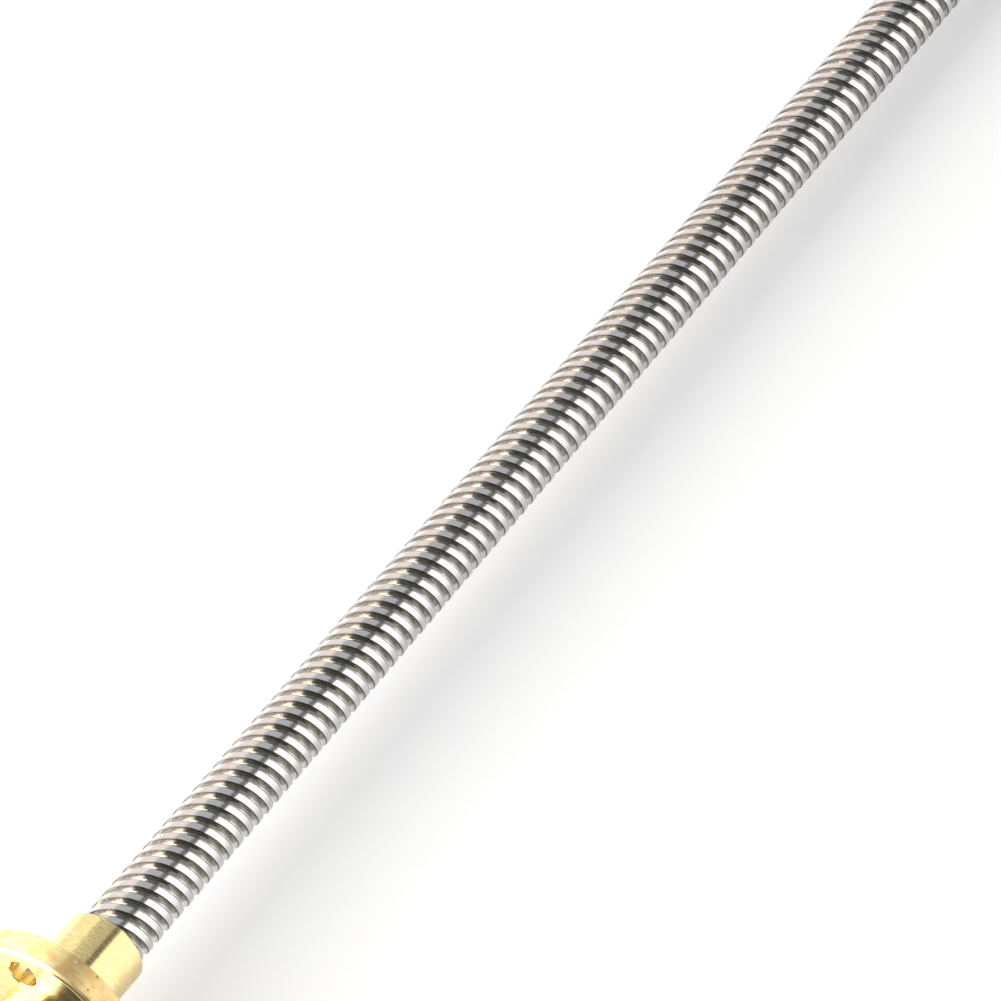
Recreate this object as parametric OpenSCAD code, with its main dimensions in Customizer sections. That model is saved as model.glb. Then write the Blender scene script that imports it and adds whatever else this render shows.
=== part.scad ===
// Trapezoidal lead screw with its flanged nut.
// The screw lies along +X. The origin is the centre of its near end face,
// and the nut sits near that end with its long collar towards +X.
// Both pieces are turned in one piece each, in millimetres.

/* [Screw] */
// Length of the screw, end to end
screw_length = 300; // [80:1:300]
// Diameter over the thread crests
screw_d = 8; // [6:0.5:16]
// Depth of the thread, from the crest to the root
thread_depth = 0.9; // [0.4:0.05:1.1]
// Axial distance from one crest to the next
pitch = 2; // [1.9:0.1:3]
// Width of the flat crest, along the axis
crest_w = 1.05; // [0.6:0.05:1.2]
// Slope of each flank from the square, in degrees
flank_angle = 15; // [5:1:25]
// Number of thread starts
starts = 4; // [1:1:6]
// Depth of the chamfer on each end of the screw
end_chamfer = 0.6; // [0.2:0.05:0.9]
// Steps that the thread is swept in for each full turn, a whole number or not
steps_per_turn = 9.75; // [6:0.25:10]
// Place of the first crest at the top of the screw, past the near end
crest_offset = 1.52; // [0:0.02:2]

/* [Nut flange] */
// Width of the flange beyond the long collar, from the axis outwards
flange_reach = 6.1; // [5.6:0.1:12]
// Thickness of the flange
flange_t = 3.5; // [2:0.25:8]
// Chamfer on the rim of the flange, on the hub's side
front_chamfer = 0.4; // [0.1:0.05:0.9]
// Chamfer on the rim of the flange, on the collar's side
back_chamfer = 0.2; // [0.1:0.05:0.9]
// Distance from the rim of the flange to the centre of each bolt hole
bolt_edge = 3; // [2.7:0.1:3.8]
// Number of bolt holes
bolt_count = 4; // [3:1:6]
// Diameter of each bolt hole
bolt_hole_d = 3.5; // [2:0.1:4]

/* [Nut collar] */
// Wall of the long collar, from the thread crests outwards
collar_wall = 0.9; // [0.8:0.05:2]
// Length of the collar beyond the flange
collar_length = 10; // [4:0.5:30]
// Chamfer on the far end of the collar
collar_chamfer = 0.35; // [0.1:0.05:0.4]
// Wall of the short hub on the other side of the flange, from the crests outwards
hub_wall = 0.9; // [0.8:0.05:2]
// Length of the short hub
hub_length = 1.5; // [0.5:0.25:4]
// Chamfer on the end of the hub
hub_chamfer = 0.3; // [0.1:0.05:0.4]
// Radial clearance between the thread crests and the bore of the nut
running_gap = 0.1; // [0.05:0.01:0.15]
// Chamfer at each mouth of the bore
bore_chamfer = 0.25; // [0.1:0.05:0.3]
// Distance from the near end of the screw to the end of the hub
nut_inset = 6; // [1:0.5:40]
// Turn of the nut about the screw as it lies, in degrees
nut_turn = -11.5; // [-45:0.5:45]

/* [Hidden] */

// Axial width of a flank and of the root, and the lead of one start
flank_w = thread_depth * tan(flank_angle);
root_w = pitch - crest_w - 2 * flank_w;
lead = pitch * starts;
crest_r = screw_d / 2;
root_r = crest_r - thread_depth;

// Length swept beyond each end, so that the ends can be cut square
sweep_overrun = 1.2 * lead / steps_per_turn;
slices = ceil(steps_per_turn * (screw_length + 2 * sweep_overrun) / lead);
// Turn of the first slice that puts a crest at its place
thread_turn = 360 * (crest_offset - crest_w / 2 + sweep_overrun) / lead;

// One start of the thread in the cross-section, as [fraction of the pitch, radius]
start_profile = [
    [0, crest_r],
    [crest_w / pitch, crest_r],
    [(crest_w + flank_w) / pitch, root_r],
    [(crest_w + flank_w + root_w) / pitch, root_r]
];

// The cross-section that the thread has at every slice, as [angle, radius]
section = [
    for (start = [0 : starts - 1])
        for (corner = start_profile)
            [360 * (start + corner[0]) / starts, corner[1]]
];
corners = len(section);

// Places along the screw
flange_x = nut_inset + hub_length;
seat_x = flange_x + flange_t;
collar_end_x = seat_x + collar_length;

// Radii of the nut, from the bore to the rim
bore_r = crest_r + running_gap;
hub_r = crest_r + hub_wall;
collar_r = crest_r + collar_wall;
flange_r = collar_r + flange_reach;
bolt_circle_r = flange_r - bolt_edge;

// Circular resolution of the turned forms
turned_fn = 96;
hole_fn = 48;

// Turns a profile of [distance along X, radius] points about the X axis
module turned(profile) {
    rotate([0, 90, 0])
        rotate_extrude($fn = turned_fn)
            polygon([for (p = profile) [p[1], p[0]]]);
}

// The multi-start thread and its core, swept along the axis in one skin
module thread_sweep() {
    function ring_point(slice, corner) =
        let (
            along = -sweep_overrun + slice * lead / steps_per_turn,
            turn = thread_turn + section[corner][0] - 360 * slice / steps_per_turn,
            radius = section[corner][1]
        )
        [along, radius * sin(turn), radius * cos(turn)];
    function at(slice, corner) = slice * corners + corner % corners;

    points = [
        for (slice = [0 : slices])
            for (corner = [0 : corners - 1])
                ring_point(slice, corner)
    ];
    // Slices that a strip's far edge runs ahead of its near edge, so that a wide
    // crest is faceted nearly along the axis and keeps its round
    function skew(corner) =
        let (gap = section[(corner + 1) % corners][0] - section[corner][0] + 360)
        floor((gap % 360) * steps_per_turn / 360);

    // Each strip follows a helical edge, split along the way that the edge runs
    side_faces = [
        for (slice = [0 : slices - 1])
            for (corner = [0 : corners - 1])
                for (half = [0, 1])
                    let (
                        behind = max(slice - skew(corner), 0),
                        ahead = min(slice + 1 + skew(corner), slices)
                    )
                    half == 0
                        ? [at(behind, corner), at(slice, corner + 1), at(slice + 1, corner + 1)]
                        : [at(slice, corner), at(ahead, corner + 1), at(slice + 1, corner)]
    ];
    near_cap = [[for (corner = [corners - 1 : -1 : 0]) at(0, corner)]];
    far_cap = [[for (corner = [0 : corners - 1]) at(slices, corner)]];
    polyhedron(points, concat(side_faces, near_cap, far_cap), convexity = 4);
}

// The blank that the thread is cut from, with its chamfered ends
module screw_blank() {
    oversize = 0.5;
    turned([
        [0, 0],
        [0, crest_r - end_chamfer],
        [end_chamfer + oversize, crest_r + oversize],
        [screw_length - end_chamfer - oversize, crest_r + oversize],
        [screw_length, crest_r - end_chamfer],
        [screw_length, 0]
    ]);
}

module lead_screw() {
    color("silver")
        intersection() {
            thread_sweep();
            screw_blank();
        }
}

// The nut before drilling: hub, flange and collar turned in one piece
module nut_blank() {
    turned([
        [nut_inset, bore_r + bore_chamfer],
        [nut_inset, hub_r - hub_chamfer],
        [nut_inset + hub_chamfer, hub_r],
        [flange_x, hub_r],
        [flange_x, flange_r - front_chamfer],
        [flange_x + front_chamfer, flange_r],
        [seat_x - back_chamfer, flange_r],
        [seat_x, flange_r - back_chamfer],
        [seat_x, collar_r],
        [collar_end_x - collar_chamfer, collar_r],
        [collar_end_x, collar_r - collar_chamfer],
        [collar_end_x, bore_r + bore_chamfer],
        [collar_end_x - bore_chamfer, bore_r],
        [nut_inset + bore_chamfer, bore_r]
    ]);
}

// The ring of bolt holes through the flange
module bolt_holes() {
    past = 1;
    for (i = [0 : bolt_count - 1])
        rotate([360 * i / bolt_count, 0, 0])
            translate([flange_x - past, 0, bolt_circle_r])
                rotate([0, 90, 0])
                    cylinder(d = bolt_hole_d, h = flange_t + 2 * past, $fn = hole_fn);
}

module flange_nut() {
    color("goldenrod")
        rotate([nut_turn, 0, 0])
            difference() {
                nut_blank();
                bolt_holes();
            }
}

lead_screw();
flange_nut();
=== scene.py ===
"""Looks of the trapezoidal lead screw: steel thread, brass nut, floor, lamps and camera."""

import logging
import math
from dataclasses import dataclass
from enum import Enum
from typing import Iterable, Sequence, Union

import bmesh
import bpy
from mathutils import Matrix, Vector


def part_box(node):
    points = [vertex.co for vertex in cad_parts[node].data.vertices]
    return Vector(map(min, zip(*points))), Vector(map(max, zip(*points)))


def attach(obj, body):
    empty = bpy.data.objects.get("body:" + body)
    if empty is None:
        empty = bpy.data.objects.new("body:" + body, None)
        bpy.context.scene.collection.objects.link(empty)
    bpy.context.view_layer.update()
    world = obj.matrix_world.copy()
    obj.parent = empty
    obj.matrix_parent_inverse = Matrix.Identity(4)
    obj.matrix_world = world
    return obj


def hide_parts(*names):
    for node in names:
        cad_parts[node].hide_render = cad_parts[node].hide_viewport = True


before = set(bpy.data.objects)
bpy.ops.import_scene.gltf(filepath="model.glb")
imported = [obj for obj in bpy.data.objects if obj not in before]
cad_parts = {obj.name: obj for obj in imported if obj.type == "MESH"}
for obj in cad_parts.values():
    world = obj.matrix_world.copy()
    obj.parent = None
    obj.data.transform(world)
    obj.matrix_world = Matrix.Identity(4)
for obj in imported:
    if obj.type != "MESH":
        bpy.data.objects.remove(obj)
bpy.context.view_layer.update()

log = logging.getLogger("lead_screw")

MM = 0.001
MERGE_DISTANCE = 1e-7

Source = Union[bpy.types.NodeSocket, float, Sequence[float]]


class Body(Enum):
    """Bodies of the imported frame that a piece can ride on."""

    SCREW = "screw"
    NUT = "nut"


class Slot(Enum):
    """Material slots of the record."""

    STEEL = "screw_steel"
    BRASS = "nut_brass"


class Node(Enum):
    """CAD nodes that the pieces stand for."""

    SCREW = "lead_screw"
    NUT = "flange_nut"


@dataclass
class NodeCanvas:
    """A node tree that is being filled.

    Args:
        tree: the material's, world's or group's own node tree.
    """

    tree: bpy.types.NodeTree

    def add(self, kind: str, **settings: object) -> bpy.types.Node:
        """Adds a node and sets its plain properties.

        Args:
            kind: the node's type name.
            settings: properties of the node, by name.

        Returns:
            The new node.
        """
        node = self.tree.nodes.new(kind)
        for name, value in settings.items():
            setattr(node, name, value)
        return node

    def feed(self, socket: bpy.types.NodeSocket, source: Source) -> None:
        """Links a socket to another one, or sets its value.

        Args:
            socket: the input to feed.
            source: a socket to link, or a number, colour or vector to set.
        """
        if isinstance(source, bpy.types.NodeSocket):
            self.tree.links.new(source, socket)
        else:
            socket.default_value = source

    def math(self, operation: str, first: Source, second: Source = 0.0) -> bpy.types.NodeSocket:
        """Adds one sum, product or other operation on numbers.

        Args:
            operation: the Math node's operation.
            first: the first number or socket.
            second: the second number or socket, where the operation takes one.

        Returns:
            The result's socket.
        """
        node = self.add("ShaderNodeMath", operation=operation)
        self.feed(node.inputs[0], first)
        self.feed(node.inputs[1], second)
        return node.outputs[0]

    def ramp(
        self,
        value: Source,
        low: float,
        high: float,
        start: float = 0.0,
        end: float = 1.0,
    ) -> bpy.types.NodeSocket:
        """Maps a value smoothly from one range to another.

        Args:
            value: what to map.
            low: value that gives start.
            high: value that gives end.
            start: result at low and beyond it.
            end: result at high and beyond it.

        Returns:
            The result's socket.
        """
        node = self.add("ShaderNodeMapRange", interpolation_type="SMOOTHSTEP")
        for socket, source in zip(node.inputs, (value, low, high, start, end)):
            self.feed(socket, source)
        return node.outputs["Result"]

    def blend(self, factor: Source, first: Source, second: Source) -> bpy.types.NodeSocket:
        """Mixes two colours.

        Args:
            factor: 0 gives the first colour and 1 the second.
            first: a colour or its socket.
            second: a colour or its socket.

        Returns:
            The mixed colour's socket.
        """
        node = self.add("ShaderNodeMix", data_type="RGBA")
        self.feed(node.inputs["Factor"], factor)
        self.feed(node.inputs[6], first)
        self.feed(node.inputs[7], second)
        return node.outputs[2]

    def group(self, tree: bpy.types.NodeTree, **values: Source) -> bpy.types.Node:
        """Places a node group and feeds its inputs by name.

        Args:
            tree: the group.
            values: sources for the inputs, with spaces written as underscores.

        Returns:
            The group's node.
        """
        node = self.add("ShaderNodeGroup", node_tree=tree)
        for name, source in values.items():
            self.feed(node.inputs[name.replace("_", " ")], source)
        return node


@dataclass
class EffectGroups:
    """Shader effects that more than one finish uses, each built once as a node group."""

    turned_place: bpy.types.NodeTree
    tool_marks: bpy.types.NodeTree

    @classmethod
    def build(cls) -> "EffectGroups":
        """Builds every group.

        Returns:
            The set of groups.
        """
        return cls(cls._turned_place(), cls._tool_marks())

    @staticmethod
    def _new_group(
        name: str,
        inputs: dict[str, str],
        outputs: dict[str, str],
    ) -> tuple[NodeCanvas, bpy.types.Node, bpy.types.Node]:
        """Starts a node group with its sockets.

        Args:
            name: the group's name.
            inputs: socket types by input name.
            outputs: socket types by output name.

        Returns:
            The canvas, the group's input node and its output node.
        """
        tree = bpy.data.node_groups.new(name, "ShaderNodeTree")
        for label, kind in inputs.items():
            tree.interface.new_socket(label, in_out="INPUT", socket_type=kind)
        for label, kind in outputs.items():
            tree.interface.new_socket(label, in_out="OUTPUT", socket_type=kind)
        canvas = NodeCanvas(tree)
        return canvas, canvas.add("NodeGroupInput"), canvas.add("NodeGroupOutput")

    @classmethod
    def _turned_place(cls) -> bpy.types.NodeTree:
        """Group that splits a point into its place along, out from and round the X axis.

        Returns:
            The group's tree.
        """
        canvas, given, result = cls._new_group(
            "turned place",
            {"Point": "NodeSocketVector"},
            {
                "Along": "NodeSocketFloat",
                "Radius": "NodeSocketFloat",
                "Angle": "NodeSocketFloat",
                "Around": "NodeSocketVector",
            },
        )
        split = canvas.add("ShaderNodeSeparateXYZ")
        canvas.feed(split.inputs[0], given.outputs["Point"])
        across, up = split.outputs["Y"], split.outputs["Z"]
        radius = canvas.math(
            "SQRT",
            canvas.math("ADD", canvas.math("MULTIPLY", across, across), canvas.math("MULTIPLY", up, up)),
        )
        around = canvas.add("ShaderNodeCombineXYZ")
        canvas.feed(around.inputs["Y"], canvas.math("DIVIDE", across, radius))
        canvas.feed(around.inputs["Z"], canvas.math("DIVIDE", up, radius))
        canvas.feed(result.inputs["Along"], split.outputs["X"])
        canvas.feed(result.inputs["Radius"], radius)
        canvas.feed(result.inputs["Angle"], canvas.math("ARCTAN2", across, up))
        canvas.feed(result.inputs["Around"], around.outputs[0])
        return canvas.tree

    @classmethod
    def _tool_marks(cls) -> bpy.types.NodeTree:
        """Group that draws fine lines across one coordinate, long and broken along the others.

        Returns:
            The group's tree.
        """
        canvas, given, result = cls._new_group(
            "tool marks",
            {
                "Across": "NodeSocketFloat",
                "Lines Per Metre": "NodeSocketFloat",
                "Way": "NodeSocketVector",
                "Breaks": "NodeSocketFloat",
            },
            {"Marks": "NodeSocketFloat"},
        )
        lines = canvas.math("MULTIPLY", given.outputs["Across"], given.outputs["Lines Per Metre"])
        stretch = canvas.add("ShaderNodeVectorMath", operation="SCALE")
        canvas.feed(stretch.inputs[0], given.outputs["Way"])
        canvas.feed(stretch.inputs["Scale"], given.outputs["Breaks"])
        place = canvas.add("ShaderNodeVectorMath", operation="ADD")
        row = canvas.add("ShaderNodeCombineXYZ")
        canvas.feed(row.inputs["X"], lines)
        canvas.feed(place.inputs[0], row.outputs[0])
        canvas.feed(place.inputs[1], stretch.outputs[0])
        noise = canvas.add("ShaderNodeTexNoise", noise_dimensions="3D")
        canvas.feed(noise.inputs["Vector"], place.outputs[0])
        noise.inputs["Scale"].default_value = 1.0
        noise.inputs["Detail"].default_value = 2.0
        noise.inputs["Roughness"].default_value = 0.6
        canvas.feed(result.inputs["Marks"], canvas.ramp(noise.outputs["Fac"], 0.3, 0.7))
        return canvas.tree


def new_material(name: str) -> tuple[bpy.types.Material, NodeCanvas, bpy.types.Node]:
    """Starts a material with a Principled surface.

    Args:
        name: the material's name.

    Returns:
        The material, its canvas and its Principled node.
    """
    material = bpy.data.materials.new(name)
    material.use_nodes = True
    canvas = NodeCanvas(material.node_tree)
    return material, canvas, material.node_tree.nodes["Principled BSDF"]


@dataclass(frozen=True)
class SteelFinish:
    """Bright rolled steel of the thread.

    Crests are polished, with painted shade along their edges; the outer part of each flank is finely
    hatched, and the roots are bright with fine drawn lines. The cut ends are plain.
    """

    length: float
    pitch: float
    crest_offset: float
    starts: int
    crest_half: float
    base_half: float
    bright: tuple[float, float, float, float] = (0.68, 0.66, 0.65, 1.0)
    film: tuple[float, float, float, float] = (0.67, 0.645, 0.62, 1.0)
    hatch: tuple[float, float, float, float] = (0.46, 0.44, 0.415, 1.0)
    # Tone of a thin band along each crest's edges: painted shade, not a mark of the steel.
    edge: tuple[float, float, float, float] = (0.10, 0.095, 0.09, 1.0)
    drawn_line: tuple[float, float, float, float] = (0.52, 0.51, 0.45, 1.0)
    film_share: float = 0.50
    crest_roughness: float = 0.13
    film_roughness: float = 0.12
    edge_shade_width: float = 0.00010
    hatch_lines_per_metre: float = 8000.0
    drawn_lines_per_metre: float = 7600.0
    crest_lines_per_metre: float = 9000.0
    crest_breaks: float = 900.0
    drawn_breaks: float = 60.0
    hatch_breaks: float = 120.0
    hatch_radius: float = 0.0035
    hatch_slant: float = 0.6
    mask_softness: float = 0.00002
    uneven_roughness: float = 0.05
    mark_depth: float = 0.0000030
    end_roughness: float = 0.30
    end_reach: float = 0.00002

    def build(self, effects: EffectGroups) -> bpy.types.Material:
        """Builds the material.

        Args:
            effects: the shared node groups.

        Returns:
            The material.
        """
        material, canvas, surface = new_material("bright rolled steel")
        point = canvas.add("ShaderNodeTexCoord").outputs["Object"]
        place = canvas.group(effects.turned_place, Point=point)
        along, radius, angle = (place.outputs[name] for name in ("Along", "Radius", "Angle"))

        # Place across the thread: 0 at the middle of a crest, and up to half a pitch either way
        turns = canvas.math("MULTIPLY", angle, self.starts / math.tau)
        pitches = canvas.math("DIVIDE", canvas.math("SUBTRACT", along, self.crest_offset), self.pitch)
        phase = canvas.math("ADD", pitches, canvas.math("ADD", turns, 0.5))
        centred = canvas.math("SUBTRACT", canvas.math("FRACT", phase), 0.5)
        across = canvas.math("MULTIPLY", centred, self.pitch)
        off_middle = canvas.math("ABSOLUTE", across)
        soft = self.mask_softness
        film_end = self.crest_half + self.film_share * (self.base_half - self.crest_half)
        filmed = canvas.math(
            "MULTIPLY",
            canvas.ramp(off_middle, self.crest_half - soft, self.crest_half + soft),
            canvas.ramp(off_middle, film_end - soft, film_end + soft, 1.0, 0.0),
        )
        rooted = canvas.ramp(off_middle, film_end - soft, film_end + soft)
        # Painted shade: a thin band along the edge of each crest is darkened to the edge tone.
        edge_shade_start = self.crest_half - self.edge_shade_width
        crest_edge_shade = canvas.math(
            "MULTIPLY",
            canvas.ramp(off_middle, edge_shade_start - soft, edge_shade_start + soft),
            canvas.ramp(off_middle, self.crest_half, self.crest_half + 3 * soft, 1.0, 0.0),
        )

        way = canvas.add("ShaderNodeCombineXYZ")
        canvas.feed(way.inputs["Y"], along)
        canvas.feed(way.inputs["Z"], radius)
        crest_marks = canvas.group(
            effects.tool_marks,
            Across=across,
            Lines_Per_Metre=self.crest_lines_per_metre,
            Way=way.outputs[0],
            Breaks=self.crest_breaks,
        ).outputs["Marks"]
        drawn = canvas.group(
            effects.tool_marks,
            Across=across,
            Lines_Per_Metre=self.drawn_lines_per_metre,
            Way=way.outputs[0],
            Breaks=self.drawn_breaks,
        ).outputs["Marks"]
        round_way = canvas.math("MULTIPLY", angle, self.hatch_radius)
        slant = canvas.math("ADD", round_way, canvas.math("MULTIPLY", radius, self.hatch_slant))
        hatched = canvas.group(
            effects.tool_marks,
            Across=slant,
            Lines_Per_Metre=self.hatch_lines_per_metre,
            Way=way.outputs[0],
            Breaks=self.hatch_breaks,
        ).outputs["Marks"]

        root_tone = canvas.blend(drawn, self.drawn_line, self.bright)
        film_tone = canvas.blend(hatched, self.hatch, self.film)
        tone = canvas.blend(filmed, canvas.blend(rooted, self.bright, root_tone), film_tone)
        # Painted shade along the crest edges.
        tone = canvas.blend(crest_edge_shade, tone, self.edge)
        to_end = canvas.math("MINIMUM", along, canvas.math("SUBTRACT", self.length, along))
        cut_end = canvas.ramp(to_end, self.end_reach / 2, self.end_reach, 1.0, 0.0)
        canvas.feed(surface.inputs["Base Color"], canvas.blend(cut_end, tone, self.bright))
        dull = canvas.ramp(filmed, 0.0, 1.0, self.crest_roughness, self.film_roughness)
        dull = canvas.math("MAXIMUM", dull, canvas.math("MULTIPLY", cut_end, self.end_roughness))
        uneven = canvas.math("MULTIPLY", crest_marks, self.uneven_roughness)
        canvas.feed(surface.inputs["Roughness"], canvas.math("ADD", dull, uneven))
        surface.inputs["Metallic"].default_value = 1.0

        bump = canvas.add("ShaderNodeBump")
        bump.inputs["Distance"].default_value = self.mark_depth
        canvas.feed(bump.inputs["Height"], crest_marks)
        canvas.feed(surface.inputs["Normal"], bump.outputs["Normal"])
        return material


@dataclass(frozen=True)
class Blemish:
    """A small spot on the flange's rim.

    Args:
        along: its place along X.
        angle: its angle from straight up towards -Y, in degrees.
        size: its radius.
        colour: its tone.
        depth: how deep it is pressed in.
    """

    along: float
    angle: float
    size: float
    colour: tuple[float, float, float, float]
    depth: float


@dataclass(frozen=True)
class BrassFinish:
    """Bright turned brass, with the lathe's fine rings, a duller mottled rim and a few blemishes."""

    rim_radius: float
    bright: tuple[float, float, float, float] = (0.93, 0.77, 0.42, 1.0)
    deep: tuple[float, float, float, float] = (0.80, 0.62, 0.25, 1.0)
    mottled: tuple[float, float, float, float] = (0.80, 0.53, 0.23, 1.0)
    roughness: float = 0.15
    rim_roughness: float = 0.34
    rim_band: float = 0.00030
    mottles_per_metre: float = 620.0
    mottle_range: tuple[float, float] = (0.38, 0.62)
    lines_per_metre: float = 6400.0
    line_breaks: float = 5.0
    uneven_roughness: float = 0.05
    blemish_core: float = 0.6
    mark_depth: float = 0.0000045
    blemishes: tuple[Blemish, ...] = (
        Blemish(0.01027, 18.5, 0.00024, (0.90, 0.80, 0.74, 1.0), 0.0),
        Blemish(0.01060, 33.3, 0.00018, (0.35, 0.24, 0.07, 1.0), 0.00006),
        Blemish(0.00865, 34.0, 0.00016, (0.35, 0.24, 0.07, 1.0), 0.00006),
    )

    def build(self, effects: EffectGroups) -> bpy.types.Material:
        """Builds the material.

        Args:
            effects: the shared node groups.

        Returns:
            The material.
        """
        material, canvas, surface = new_material("turned brass")
        point = canvas.add("ShaderNodeTexCoord").outputs["Object"]
        place = canvas.group(effects.turned_place, Point=point)
        radius = place.outputs["Radius"]
        marks = canvas.group(
            effects.tool_marks,
            Across=canvas.math("ADD", place.outputs["Along"], radius),
            Lines_Per_Metre=self.lines_per_metre,
            Way=place.outputs["Around"],
            Breaks=self.line_breaks,
        ).outputs["Marks"]
        rim = canvas.ramp(radius, self.rim_radius - self.rim_band, self.rim_radius - self.rim_band / 2)
        blotches = canvas.add("ShaderNodeTexNoise", noise_dimensions="3D")
        canvas.feed(blotches.inputs["Vector"], point)
        blotches.inputs["Scale"].default_value = self.mottles_per_metre
        blotches.inputs["Detail"].default_value = 2.0
        mottling = canvas.math("MULTIPLY", rim, canvas.ramp(blotches.outputs["Fac"], *self.mottle_range))

        tone = canvas.blend(marks, self.deep, self.bright)
        tone = canvas.blend(mottling, tone, self.mottled)
        height = canvas.math("MULTIPLY", marks, self.mark_depth)
        for blemish in self.blemishes:
            turn = math.radians(blemish.angle)
            spot = canvas.add("ShaderNodeVectorMath", operation="DISTANCE")
            canvas.feed(spot.inputs[0], point)
            spot.inputs[1].default_value = (
                blemish.along,
                -self.rim_radius * math.sin(turn),
                self.rim_radius * math.cos(turn),
            )
            core = self.blemish_core * blemish.size
            inside = canvas.ramp(spot.outputs["Value"], core, blemish.size, 1.0, 0.0)
            tone = canvas.blend(inside, tone, blemish.colour)
            height = canvas.math("SUBTRACT", height, canvas.math("MULTIPLY", inside, blemish.depth))
        canvas.feed(surface.inputs["Base Color"], tone)
        uneven = canvas.math("MULTIPLY", marks, self.uneven_roughness)
        dull = canvas.ramp(rim, 0.0, 1.0, self.roughness, self.rim_roughness)
        canvas.feed(surface.inputs["Roughness"], canvas.math("ADD", dull, uneven))
        surface.inputs["Metallic"].default_value = 1.0
        bump = canvas.add("ShaderNodeBump")
        bump.inputs["Distance"].default_value = 1.0
        canvas.feed(bump.inputs["Height"], height)
        canvas.feed(surface.inputs["Normal"], bump.outputs["Normal"])
        return material


def finished_object(name: str, bm: bmesh.types.BMesh) -> bpy.types.Object:
    """Turns a bmesh into an object at the origin and frees the bmesh.

    Args:
        name: the object's name.
        bm: the mesh that is ready.

    Returns:
        The linked object.
    """
    mesh = bpy.data.meshes.new(name)
    bm.to_mesh(mesh)
    bm.free()
    obj = bpy.data.objects.new(name, mesh)
    bpy.context.scene.collection.objects.link(obj)
    return obj


def apply_modifiers(obj: bpy.types.Object) -> None:
    """Puts the result of an object's modifiers into its mesh.

    Args:
        obj: the object, which ends with no modifiers.
    """
    depsgraph = bpy.context.evaluated_depsgraph_get()
    mesh = bpy.data.meshes.new_from_object(obj.evaluated_get(depsgraph))
    obj.modifiers.clear()
    obj.data = mesh


def shade(obj: bpy.types.Object, sharp_angle: float) -> None:
    """Shades an object smooth, with crisp edges where its faces turn sharply.

    Large faces keep their own direction beside narrow rounds. The modifier takes areas
    as small as these for nothing, so the mesh is in millimetres while it runs.

    Args:
        obj: the object.
        sharp_angle: least turn, in radians, that stays an edge.
    """
    obj.data.shade_smooth()
    obj.data.set_sharp_from_angle(angle=sharp_angle)
    obj.data.transform(Matrix.Scale(1 / MM, 4))
    weighted = obj.modifiers.new("face weighted normals", "WEIGHTED_NORMAL")
    weighted.keep_sharp = True
    apply_modifiers(obj)
    obj.data.transform(Matrix.Scale(MM, 4))


def dress(
    obj: bpy.types.Object,
    material: bpy.types.Material,
    body: Body,
    node: Node,
) -> None:
    """Gives a piece its material and ties it to the frame.

    Args:
        obj: the piece.
        material: its finish.
        body: the body that it rides on.
        node: the CAD node that it stands for.
    """
    obj.data.materials.clear()
    obj.data.materials.append(material)
    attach(obj, body.value)
    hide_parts(node.value)
    log.info("%s: %d faces", obj.name, len(obj.data.polygons))


def outline_verts(
    bm: bmesh.types.BMesh,
    points: Iterable[tuple[float, float]],
    closed: bool,
) -> list[bmesh.types.BMVert]:
    """Draws an outline in the plane of the X and Z axes.

    Args:
        bm: the mesh that it goes into.
        points: distance along X and distance from the axis.
        closed: whether the last point joins the first.

    Returns:
        The outline's vertices, in order.
    """
    verts = [bm.verts.new((along, 0.0, out)) for along, out in points]
    pairs = list(zip(verts, verts[1:]))
    if closed:
        pairs.append((verts[-1], verts[0]))
    for pair in pairs:
        bm.edges.new(pair)
    return verts


def round_corners(
    bm: bmesh.types.BMesh,
    verts: Sequence[bmesh.types.BMVert],
    reach: float,
    segments: int,
) -> None:
    """Rounds corners of an outline.

    Args:
        bm: the outline's mesh.
        verts: the corners.
        reach: distance from the corner at which the round begins.
        segments: straight pieces of each round.
    """
    bmesh.ops.bevel(
        bm,
        geom=list(verts),
        offset=reach,
        offset_type="OFFSET",
        segments=segments,
        profile=0.5,
        affect="VERTICES",
        material=-1,
    )


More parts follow.
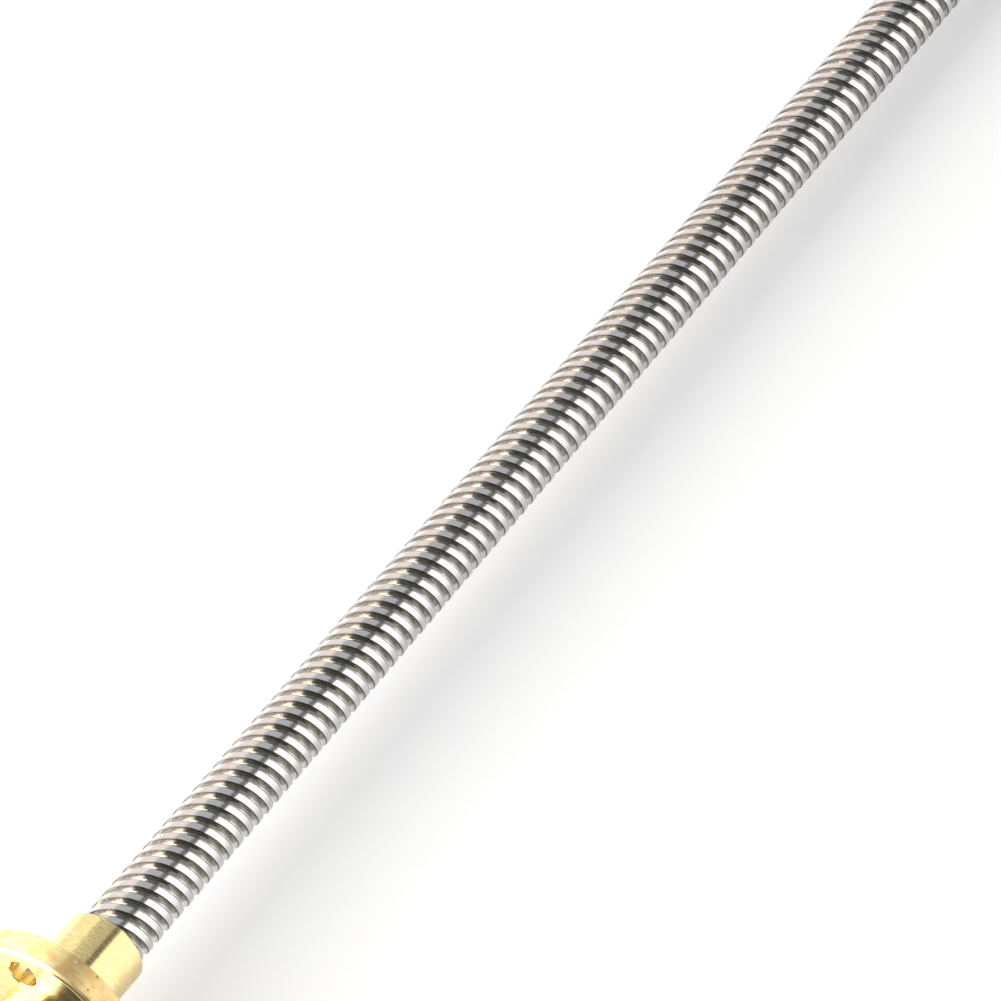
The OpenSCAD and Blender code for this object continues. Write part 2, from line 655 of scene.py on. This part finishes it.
@dataclass
class ThreadedRod:
    """The steel screw: a four-start trapezoidal thread from end to end, with chamfered ends."""

    length: float
    crest_radius: float = 4.0 * MM
    thread_depth: float = 0.9 * MM
    pitch: float = 2.0 * MM
    crest_width: float = 1.05 * MM
    flank_angle: float = math.radians(15.0)
    starts: int = 4
    crest_offset: float = 1.52 * MM
    crest_round: float = 0.10 * MM
    root_round: float = 0.12 * MM
    round_segments: int = 2
    steps_per_turn: int = 48
    end_chamfer: float = 0.6 * MM
    sharp_angle: float = math.radians(42.0)
    weld_distance: float = 0.002 * MM
    lead_in_pitches: int = 2
    spare_pitches: int = 3

    @property
    def root_radius(self) -> float:
        """Radius of the core under the thread."""
        return self.crest_radius - self.thread_depth

    @property
    def lead(self) -> float:
        """Travel of one start in a full turn."""
        return self.pitch * self.starts

    @property
    def base_half(self) -> float:
        """Half the width of the thread at its root."""
        return self.crest_width / 2 + self.thread_depth * math.tan(self.flank_angle)

    def finish(self) -> SteelFinish:
        """The rod's finish, with the sizes that its pattern follows."""
        return SteelFinish(
            length=self.length,
            pitch=self.pitch,
            crest_offset=self.crest_offset,
            starts=self.starts,
            crest_half=self.crest_width / 2,
            base_half=self.base_half,
        )

    def _one_pitch(self) -> bpy.types.Object:
        """Models the part of the thread that a quarter turn sweeps, once for each start.

        The outline of one crest, from root to root, is drawn along the top of the rod,
        rounded, and swept for as long as the thread takes to climb by one pitch.

        Returns:
            The object of one pitch of the rod, all round.
        """
        half_pitch = self.pitch / 2
        half_crest = self.crest_width / 2
        outline = (
            (-half_pitch, self.root_radius),
            (-self.base_half, self.root_radius),
            (-half_crest, self.crest_radius),
            (half_crest, self.crest_radius),
            (self.base_half, self.root_radius),
            (half_pitch, self.root_radius),
        )
        bm = bmesh.new()
        points = [(self.crest_offset + along, out) for along, out in outline]
        _, near_root, near_crest, far_crest, far_root, _ = outline_verts(bm, points, closed=False)
        round_corners(bm, (near_crest, far_crest), self.crest_round, self.round_segments)
        round_corners(bm, (near_root, far_root), self.root_round, self.round_segments)
        steps = self.steps_per_turn // self.starts
        bmesh.ops.spin(
            bm,
            geom=bm.verts[:] + bm.edges[:],
            cent=(0.0, 0.0, 0.0),
            axis=(1.0, 0.0, 0.0),
            dvec=(self.pitch / steps, 0.0, 0.0),
            angle=math.tau / self.starts,
            steps=steps,
        )
        bmesh.ops.spin(
            bm,
            geom=bm.verts[:] + bm.edges[:] + bm.faces[:],
            cent=(0.0, 0.0, 0.0),
            axis=(1.0, 0.0, 0.0),
            angle=math.tau * (self.starts - 1) / self.starts,
            steps=self.starts - 1,
            use_duplicate=True,
        )
        lead_in = self.lead_in_pitches * self.pitch
        bmesh.ops.translate(bm, verts=bm.verts[:], vec=(-lead_in, 0.0, 0.0))
        return finished_object("threaded_rod", bm)

    def _cut(self, bm: bmesh.types.BMesh, place: float, clear_beyond: bool, clear_before: bool) -> None:
        """Cuts the rod square across.

        Args:
            bm: the rod's mesh.
            place: distance from the near end.
            clear_beyond: whether all that lies further is taken away.
            clear_before: whether all that lies nearer is taken away.
        """
        bmesh.ops.bisect_plane(
            bm,
            geom=bm.verts[:] + bm.edges[:] + bm.faces[:],
            dist=MERGE_DISTANCE,
            plane_co=(place, 0.0, 0.0),
            plane_no=(1.0, 0.0, 0.0),
            clear_outer=clear_beyond,
            clear_inner=clear_before,
        )

    def _chamfer_ends(self, bm: bmesh.types.BMesh) -> None:
        """Draws the crests in towards both ends, along a cone.

        Args:
            bm: the rod's mesh, cut to length.
        """
        for share in (0.5, 1.0):
            self._cut(bm, share * self.end_chamfer, False, False)
            self._cut(bm, self.length - share * self.end_chamfer, False, False)
        for vert in bm.verts:
            from_end = min(vert.co.x, self.length - vert.co.x)
            limit = self.crest_radius - self.end_chamfer + from_end
            radius = math.hypot(vert.co.y, vert.co.z)
            if from_end < self.end_chamfer and radius > limit:
                vert.co.y *= limit / radius
                vert.co.z *= limit / radius

    def build(self, effects: EffectGroups) -> bpy.types.Object:
        """Models the rod and dresses it.

        Args:
            effects: the shared node groups.

        Returns:
            The rod's object.
        """
        rod = self._one_pitch()
        row = rod.modifiers.new("pitches", "ARRAY")
        row.count = math.ceil(self.length / self.pitch) + self.spare_pitches
        row.use_relative_offset = False
        row.use_constant_offset = True
        row.constant_offset_displace = (self.pitch, 0.0, 0.0)
        apply_modifiers(rod)

        bm = bmesh.new()
        bm.from_mesh(rod.data)
        bmesh.ops.remove_doubles(bm, verts=bm.verts[:], dist=self.weld_distance)
        self._cut(bm, 0.0, False, True)
        self._cut(bm, self.length, True, False)
        self._chamfer_ends(bm)
        rims = [edge for edge in bm.edges if edge.is_boundary]
        bmesh.ops.holes_fill(bm, edges=rims, sides=0)
        bmesh.ops.recalc_face_normals(bm, faces=bm.faces[:])
        bm.to_mesh(rod.data)
        bm.free()
        shade(rod, self.sharp_angle)
        dress(rod, self.finish().build(effects), Body.SCREW, Node.SCREW)
        return rod


@dataclass
class FlangedNut:
    """The brass nut: a short hub, a drilled flange and a long collar, turned in one piece."""

    near_x: float
    far_x: float
    flange_radius: float
    hub_length: float = 1.5 * MM
    flange_thickness: float = 3.5 * MM
    hub_radius: float = 4.9 * MM
    collar_radius: float = 4.9 * MM
    bore_radius: float = 4.1 * MM
    bore_chamfer: float = 0.25 * MM
    hub_chamfer: float = 0.3 * MM
    collar_chamfer: float = 0.35 * MM
    front_chamfer: float = 0.4 * MM
    back_chamfer: float = 0.2 * MM
    edge_round: float = 0.05 * MM
    round_segments: int = 2
    bolt_circle_radius: float = 8.0 * MM
    bolt_radius: float = 1.75 * MM
    bolt_flare: float = 0.08 * MM
    bolt_count: int = 4
    turn: float = math.radians(-11.5)
    steps: int = 256
    bolt_steps: int = 64
    sharp_angle: float = math.radians(20.0)

    @property
    def flange_x(self) -> float:
        """Place of the flange's near face."""
        return self.near_x + self.hub_length

    @property
    def seat_x(self) -> float:
        """Place of the flange's far face."""
        return self.flange_x + self.flange_thickness

    def _turned_blank(self) -> bmesh.types.BMesh:
        """Spins the nut's profile about the axis.

        Returns:
            The mesh of the nut before drilling.
        """
        bm = bmesh.new()
        profile = [
            (self.near_x, self.bore_radius + self.bore_chamfer),
            (self.near_x, self.hub_radius - self.hub_chamfer),
            (self.near_x + self.hub_chamfer, self.hub_radius),
            (self.flange_x, self.hub_radius),
            (self.flange_x, self.flange_radius - self.front_chamfer),
            (self.flange_x + self.front_chamfer, self.flange_radius),
            (self.seat_x - self.back_chamfer, self.flange_radius),
            (self.seat_x, self.flange_radius - self.back_chamfer),
            (self.seat_x, self.collar_radius),
            (self.far_x - self.collar_chamfer, self.collar_radius),
            (self.far_x, self.collar_radius - self.collar_chamfer),
            (self.far_x, self.bore_radius + self.bore_chamfer),
            (self.far_x - self.bore_chamfer, self.bore_radius),
            (self.near_x + self.bore_chamfer, self.bore_radius),
        ]
        verts = outline_verts(bm, profile, closed=True)
        round_corners(bm, verts, self.edge_round, self.round_segments)
        bmesh.ops.spin(
            bm,
            geom=bm.verts[:] + bm.edges[:],
            cent=(0.0, 0.0, 0.0),
            axis=(1.0, 0.0, 0.0),
            angle=math.tau,
            steps=self.steps,
            use_merge=True,
        )
        bmesh.ops.remove_doubles(bm, verts=bm.verts[:], dist=MERGE_DISTANCE)
        bmesh.ops.recalc_face_normals(bm, faces=bm.faces[:])
        return bm

    def _drills(self) -> bpy.types.Object:
        """Models the ring of drills that cut the bolt holes, each with a slight flare at both mouths.

        Returns:
            The drills' object.
        """
        flare = self.bolt_flare
        bm = bmesh.new()
        outline_verts(
            bm,
            [
                (self.flange_x - flare, 0.0),
                (self.flange_x - flare, self.bolt_radius + 2 * flare),
                (self.flange_x + flare, self.bolt_radius),
                (self.seat_x - flare, self.bolt_radius),
                (self.seat_x + flare, self.bolt_radius + 2 * flare),
                (self.seat_x + flare, 0.0),
            ],
            closed=False,
        )
        bmesh.ops.spin(
            bm,
            geom=bm.verts[:] + bm.edges[:],
            cent=(0.0, 0.0, 0.0),
            axis=(1.0, 0.0, 0.0),
            angle=math.tau,
            steps=self.bolt_steps,
            use_merge=True,
        )
        bmesh.ops.remove_doubles(bm, verts=bm.verts[:], dist=MERGE_DISTANCE)
        bmesh.ops.recalc_face_normals(bm, faces=bm.faces[:])
        bmesh.ops.translate(bm, verts=bm.verts[:], vec=(0.0, 0.0, self.bolt_circle_radius))
        bmesh.ops.rotate(
            bm,
            verts=bm.verts[:],
            cent=(0.0, 0.0, 0.0),
            matrix=Matrix.Rotation(self.turn, 3, "X"),
        )
        bmesh.ops.spin(
            bm,
            geom=bm.verts[:] + bm.edges[:] + bm.faces[:],
            cent=(0.0, 0.0, 0.0),
            axis=(1.0, 0.0, 0.0),
            angle=math.tau * (self.bolt_count - 1) / self.bolt_count,
            steps=self.bolt_count - 1,
            use_duplicate=True,
        )
        return finished_object("drills", bm)

    def build(self, effects: EffectGroups) -> bpy.types.Object:
        """Models the nut and dresses it.

        Args:
            effects: the shared node groups.

        Returns:
            The nut's object.
        """
        nut = finished_object("flanged_nut", self._turned_blank())
        drills = self._drills()
        cut = nut.modifiers.new("bolt holes", "BOOLEAN")
        cut.operation = "DIFFERENCE"
        cut.solver = "EXACT"
        cut.object = drills
        apply_modifiers(nut)
        bpy.data.objects.remove(drills)
        shade(nut, self.sharp_angle)
        dress(nut, BrassFinish(self.flange_radius).build(effects), Body.NUT, Node.NUT)
        return nut


@dataclass(frozen=True)
class Softbox:
    """A soft rectangular lamp between two edges that run along the screw, facing it.

    Args:
        name: the lamp's name.
        along: where it starts and ends along X.
        upper: the upper edge, as the angle from straight up towards -Y, in degrees, and the distance.
        lower: the lower edge, in the same way.
        radiance: brightness of its face, where 1 is white.
        colour: tint of its light.
        lights_floor: whether it also lights plain surfaces, or only shows in the metal.
    """

    name: str
    along: tuple[float, float]
    upper: tuple[float, float]
    lower: tuple[float, float]
    radiance: float
    colour: tuple[float, float, float]
    lights_floor: bool = True

    @staticmethod
    def _edge(angle: float, distance: float) -> Vector:
        """Finds an edge's place round the screw's axis.

        Args:
            angle: from straight up towards -Y, in degrees.
            distance: from the axis.

        Returns:
            The place, at X = 0.
        """
        turn = math.radians(angle)
        return Vector((0.0, -distance * math.sin(turn), distance * math.cos(turn)))

    def build(self) -> bpy.types.Object:
        """Adds the lamp.

        Returns:
            The lamp's object.
        """
        upper, lower = self._edge(*self.upper), self._edge(*self.lower)
        start, end = self.along
        centre = (upper + lower) / 2 + Vector(((start + end) / 2, 0.0, 0.0))
        up = (upper - lower).normalized()
        outwards = Vector((1.0, 0.0, 0.0)).cross(up)
        if outwards.dot(upper + lower) < 0:
            outwards.negate()
        lamp = bpy.data.lights.new(self.name, "AREA")
        lamp.shape = "RECTANGLE"
        lamp.size = end - start
        lamp.size_y = (upper - lower).length
        lamp.energy = self.radiance * math.pi * lamp.size * lamp.size_y
        lamp.color = self.colour
        obj = bpy.data.objects.new(self.name, lamp)
        turned = Matrix((up.cross(outwards), up, outwards)).transposed().to_4x4()
        obj.matrix_world = Matrix.Translation(centre) @ turned
        obj.visible_camera = False
        obj.visible_diffuse = self.lights_floor
        bpy.context.scene.collection.objects.link(obj)
        return obj


@dataclass
class Studio:
    """The pale floor, the lamps, the dim world and the camera."""

    rest_near: Vector
    rest_far: Vector
    floor_size: float = 3.0
    floor_colour: tuple[float, float, float, float] = (0.845, 0.86, 0.875, 1.0)
    floor_roughness: float = 0.9
    floor_glow: float = 0.27
    # Glow of the paper seen in the metal: painted light, lower beside the screw as a painted shadow.
    painted_shadow_glow: float = 0.20
    painted_light_glow: float = 0.62
    glow_reach: tuple[float, float] = (0.012, 0.045)
    glow_start_x: float = 0.005
    glow_rise_along_x: float = 4.0
    ambience: float = 0.55
    ambience_in_metal: float = 0.19
    target: tuple[float, float, float] = (0.10067, -0.00113, 0.0)
    azimuth: float = math.radians(58.91)
    elevation: float = math.radians(46.975)
    roll: float = math.radians(1.0755)
    distance: float = 0.83835
    lens: float = 260.446
    sensor_width: float = 36.0
    clip_start: float = 0.01

    def _slab(self, name: str, size: float, place: Matrix, material: bpy.types.Material) -> bpy.types.Object:
        """Adds a flat square that isn't part of the object.

        Args:
            name: its name.
            size: its half side.
            place: where it lies.
            material: its material.

        Returns:
            The square's object.
        """
        bm = bmesh.new()
        bmesh.ops.create_grid(bm, x_segments=1, y_segments=1, size=size, matrix=place)
        slab = finished_object(name, bm)
        slab.data.materials.append(material)
        return slab

    def _floor_material(self) -> bpy.types.Material:
        """White paper that shows a little paler to the camera; in reflections it glows with painted light,
        dimmed beside the screw as a painted shadow.

        Returns:
            The material.
        """
        material, canvas, surface = new_material("white paper")
        surface.inputs["Base Color"].default_value = self.floor_colour
        surface.inputs["Roughness"].default_value = self.floor_roughness
        surface.inputs["Specular IOR Level"].default_value = 0.0
        place = canvas.add("ShaderNodeSeparateXYZ")
        canvas.feed(place.inputs[0], canvas.add("ShaderNodeTexCoord").outputs["Object"])
        aside = canvas.math("ABSOLUTE", place.outputs["Y"])
        before = canvas.math("SUBTRACT", self.glow_start_x, place.outputs["X"])
        before = canvas.math("MULTIPLY", before, self.glow_rise_along_x)
        near, far = self.glow_reach
        # Painted light in reflections: the paper glows more away from the screw and before its near end, and
        # less beside it as a painted shadow.
        spill = canvas.ramp(canvas.math("MAXIMUM", aside, before), near, far, self.painted_shadow_glow, self.painted_light_glow)
        rays = canvas.add("ShaderNodeLightPath").outputs
        mirrored = canvas.math("MAXIMUM", rays["Is Glossy Ray"], rays["Is Transmission Ray"])
        glow = canvas.math(
            "ADD",
            canvas.math("MULTIPLY", rays["Is Camera Ray"], self.floor_glow),
            canvas.math("MULTIPLY", mirrored, spill),
        )
        surface.inputs["Emission Color"].default_value = (1.0, 1.0, 1.0, 1.0)
        canvas.feed(surface.inputs["Emission Strength"], glow)
        return material

    def floor(self) -> bpy.types.Object:
        """Lays the floor under the flange's rim and the screw's far end.

        Returns:
            The floor's object.
        """
        fall = math.atan2(self.rest_far.z - self.rest_near.z, self.rest_far.x - self.rest_near.x)
        place = Matrix.Translation(self.rest_near) @ Matrix.Rotation(-fall, 4, "Y")
        return self._slab("floor", self.floor_size, place, self._floor_material())

    def lamps(self) -> list[bpy.types.Object]:
        """Adds the softboxes.

        Returns:
            The lamps' objects.
        """
        beside, behind = (0.2, 1.4), (-1.0, 0.2)
        cream, pink = (1.0, 0.95, 0.89), (1.0, 0.88, 0.82)
        sky, white = (0.92, 0.97, 1.0), (1.0, 0.99, 0.97)
        boxes = (
            Softbox("left window", beside, (-35.0, 0.66), (-90.6, 0.66), 0.99, pink),
            Softbox("left softbox", behind, (-13.0, 0.62), (-90.6, 0.68), 1.6, cream),
            Softbox("left sheen", behind, (-11.0, 0.64), (-90.6, 0.70), 5.6, cream, lights_floor=False),
            Softbox("overhead spill", beside, (12.0, 0.62), (-35.0, 0.66), 0.44, sky, lights_floor=False),
            Softbox("right softbox", beside, (29.0, 0.52), (92.0, 0.52), 1.45, white, lights_floor=False),
        )
        return [box.build() for box in boxes]

    def world(self) -> bpy.types.World:
        """Sets the world: white to the camera, pale on plain surfaces and dim in the metal.

        Returns:
            The world.
        """
        world = bpy.data.worlds.new("pale room")
        world.use_nodes = True
        canvas = NodeCanvas(world.node_tree)
        background = world.node_tree.nodes["Background"]
        background.inputs["Color"].default_value = (1.0, 1.0, 1.0, 1.0)
        rays = canvas.add("ShaderNodeLightPath").outputs
        shares = (
            canvas.math("MULTIPLY", rays["Is Camera Ray"], 1.0),
            canvas.math("MULTIPLY", rays["Is Diffuse Ray"], self.ambience),
            canvas.math("MULTIPLY", rays["Is Glossy Ray"], self.ambience_in_metal),
        )
        strength = canvas.math("ADD", canvas.math("ADD", shares[0], shares[1]), shares[2])
        canvas.feed(background.inputs["Strength"], strength)
        bpy.context.scene.world = world
        return world

    def camera(self) -> bpy.types.Object:
        """Places the camera at the photograph's view.

        Returns:
            The camera's object.
        """
        forward = Vector(
            (
                math.sin(self.azimuth) * math.cos(self.elevation),
                math.cos(self.azimuth) * math.cos(self.elevation),
                -math.sin(self.elevation),
            )
        )
        data = bpy.data.cameras.new("camera")
        data.lens = self.lens
        data.sensor_width = self.sensor_width
        data.clip_start = self.clip_start
        camera = bpy.data.objects.new("camera", data)
        facing = forward.to_track_quat("-Z", "Y").to_matrix().to_4x4()
        place = Vector(self.target) - forward * self.distance
        camera.matrix_world = Matrix.Translation(place) @ facing @ Matrix.Rotation(self.roll, 4, "Z")
        bpy.context.scene.collection.objects.link(camera)
        bpy.context.scene.camera = camera
        return camera

    def build(self) -> None:
        """Adds everything that stands round the object."""
        self.camera()
        self.world()
        self.floor()
        self.lamps()
        bpy.context.scene.view_settings.view_transform = "Standard"


def main() -> None:
    """Builds the pieces and the studio round them."""
    logging.basicConfig(level=logging.INFO, format="%(name)s: %(message)s")
    screw_low, screw_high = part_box(Node.SCREW.value)
    nut_low, nut_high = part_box(Node.NUT.value)
    effects = EffectGroups.build()
    rod = ThreadedRod(length=screw_high.x - screw_low.x)
    rod.build(effects)
    flange_radius = (nut_high.z - nut_low.z) / 2
    nut = FlangedNut(near_x=nut_low.x, far_x=nut_high.x, flange_radius=flange_radius)
    nut.build(effects)
    Studio(
        rest_near=Vector((nut.seat_x - nut.back_chamfer, 0.0, -flange_radius)),
        rest_far=Vector((screw_high.x - rod.end_chamfer, 0.0, -rod.crest_radius)),
    ).build()


if __name__ == "__main__":
    main()
